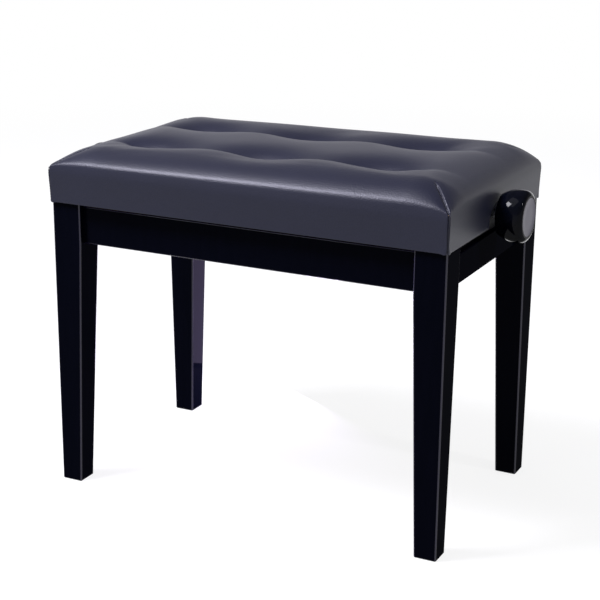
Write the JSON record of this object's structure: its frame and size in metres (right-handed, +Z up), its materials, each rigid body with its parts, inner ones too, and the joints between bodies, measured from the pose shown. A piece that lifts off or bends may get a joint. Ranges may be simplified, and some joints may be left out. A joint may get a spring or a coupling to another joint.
{
  "type": "piano bench",
  "caption": "Height-adjustable piano bench with tapered legs, a tufted leather box seat, and a scissor lift turned by end knobs.",
  "frame": {"origin": "on the floor, in the middle of the four legs", "axes": "+Z up, +X along the seat's length towards the right-hand knob, -Y to the front"},
  "size_m": [0.629, 0.333, 0.4604],
  "materials": {
    "lacquered_wood": "high-gloss black lacquer on hardwood",
    "plywood": "raw plywood",
    "leather": "satin black leatherette, fine grain",
    "foam": "upholstery foam",
    "knob_plastic": "glossy black plastic",
    "knob_cap": "satin silver disc",
    "nylon": "natural nylon",
    "bright_steel": "bright turned steel",
    "brass": "machined brass",
    "zinc_steel": "zinc-plated steel",
    "black_steel": "black powder coat"
  },
  "bodies": {
    "base": {"apron_back": "lacquered_wood", "apron_front": "lacquered_wood", "apron_left": "lacquered_wood", "apron_right": "lacquered_wood", "corner_plate_back_left": "zinc_steel", "corner_plate_back_right": "zinc_steel", "corner_plate_front_left": "zinc_steel", "corner_plate_front_right": "zinc_steel", "end_bracket_left": "black_steel", "end_bracket_right": "black_steel", "frame_screws": "zinc_steel", "hanger_bolts": "zinc_steel", "hanger_nuts": "zinc_steel", "leg_back_left": "lacquered_wood", "leg_back_right": "lacquered_wood", "leg_front_left": "lacquered_wood", "leg_front_right": "lacquered_wood", "lower_rail_back": "black_steel", "lower_rail_front": "black_steel", "shaft_bush_left": "nylon", "shaft_bush_right": "nylon"},
    "seat": {"leather_cover": "leather", "seat_board": "plywood", "seat_foam": "foam", "seat_screws": "zinc_steel", "skirt_board_back": "plywood", "skirt_board_front": "plywood", "skirt_board_left": "plywood", "skirt_board_right": "plywood", "upper_rail_back": "black_steel", "upper_rail_front": "black_steel", "upper_tie_left": "black_steel", "upper_tie_right": "black_steel"},
    "outer_arms": {"outer_arm_front": "black_steel", "outer_arm_back": "black_steel", "base_pivot_rod": "bright_steel", "pivot_rod_clips": "zinc_steel", "pivot_washers": "nylon", "middle_rivets": "zinc_steel", "seat_slide_pins": "zinc_steel", "seat_slide_bushes": "nylon"},
    "inner_arms": {"inner_arm_front": "black_steel", "inner_arm_back": "black_steel", "nut_rod": "bright_steel", "nut_rod_clips": "zinc_steel", "base_slide_bushes": "nylon", "seat_pivot_rivets": "zinc_steel"},
    "nut": {"nut_block": "brass"},
    "screw": {"lead_screw": "bright_steel", "knob_left": "knob_plastic", "knob_right": "knob_plastic", "knob_cap_left": "knob_cap", "knob_cap_right": "knob_cap", "thrust_collar_left": "zinc_steel", "thrust_collar_right": "zinc_steel"}
  },
  "joints": [
    {"name": "seat_lift", "type": "slide", "parent": "base", "child": "seat", "axis": [0, 0, 1], "range_m": [0, 0.1]},
    {"name": "outer_arm_swing", "type": "hinge", "parent": "base", "child": "outer_arms", "pos_m": [-0.17, 0, 0.386], "axis": [0, -1, 0], "range_deg": [0, 17.5]},
    {"name": "inner_arm_swing", "type": "hinge", "parent": "seat", "child": "inner_arms", "pos_m": [-0.17, 0, 0.4101], "axis": [0, 1, 0], "range_deg": [0, 17.5]},
    {"name": "nut_levelling", "type": "hinge", "parent": "inner_arms", "child": "nut", "pos_m": [0.16914, 0, 0.386], "axis": [0, -1, 0], "range_deg": [0, 17.5]},
    {"name": "screw_turn", "type": "hinge", "parent": "base", "child": "screw", "pos_m": [0, 0, 0.4], "axis": [1, 0, 0], "range_deg": [0, 2040]}
  ],
  "couplings": [
    {"joint": "outer_arm_swing", "follows": "seat_lift", "rad_per_m": 3.009},
    {"joint": "inner_arm_swing", "follows": "seat_lift", "rad_per_m": 3.009},
    {"joint": "nut_levelling", "follows": "seat_lift", "rad_per_m": 3.009},
    {"joint": "screw_turn", "follows": "seat_lift", "rad_per_m": 351.6}
  ]
}
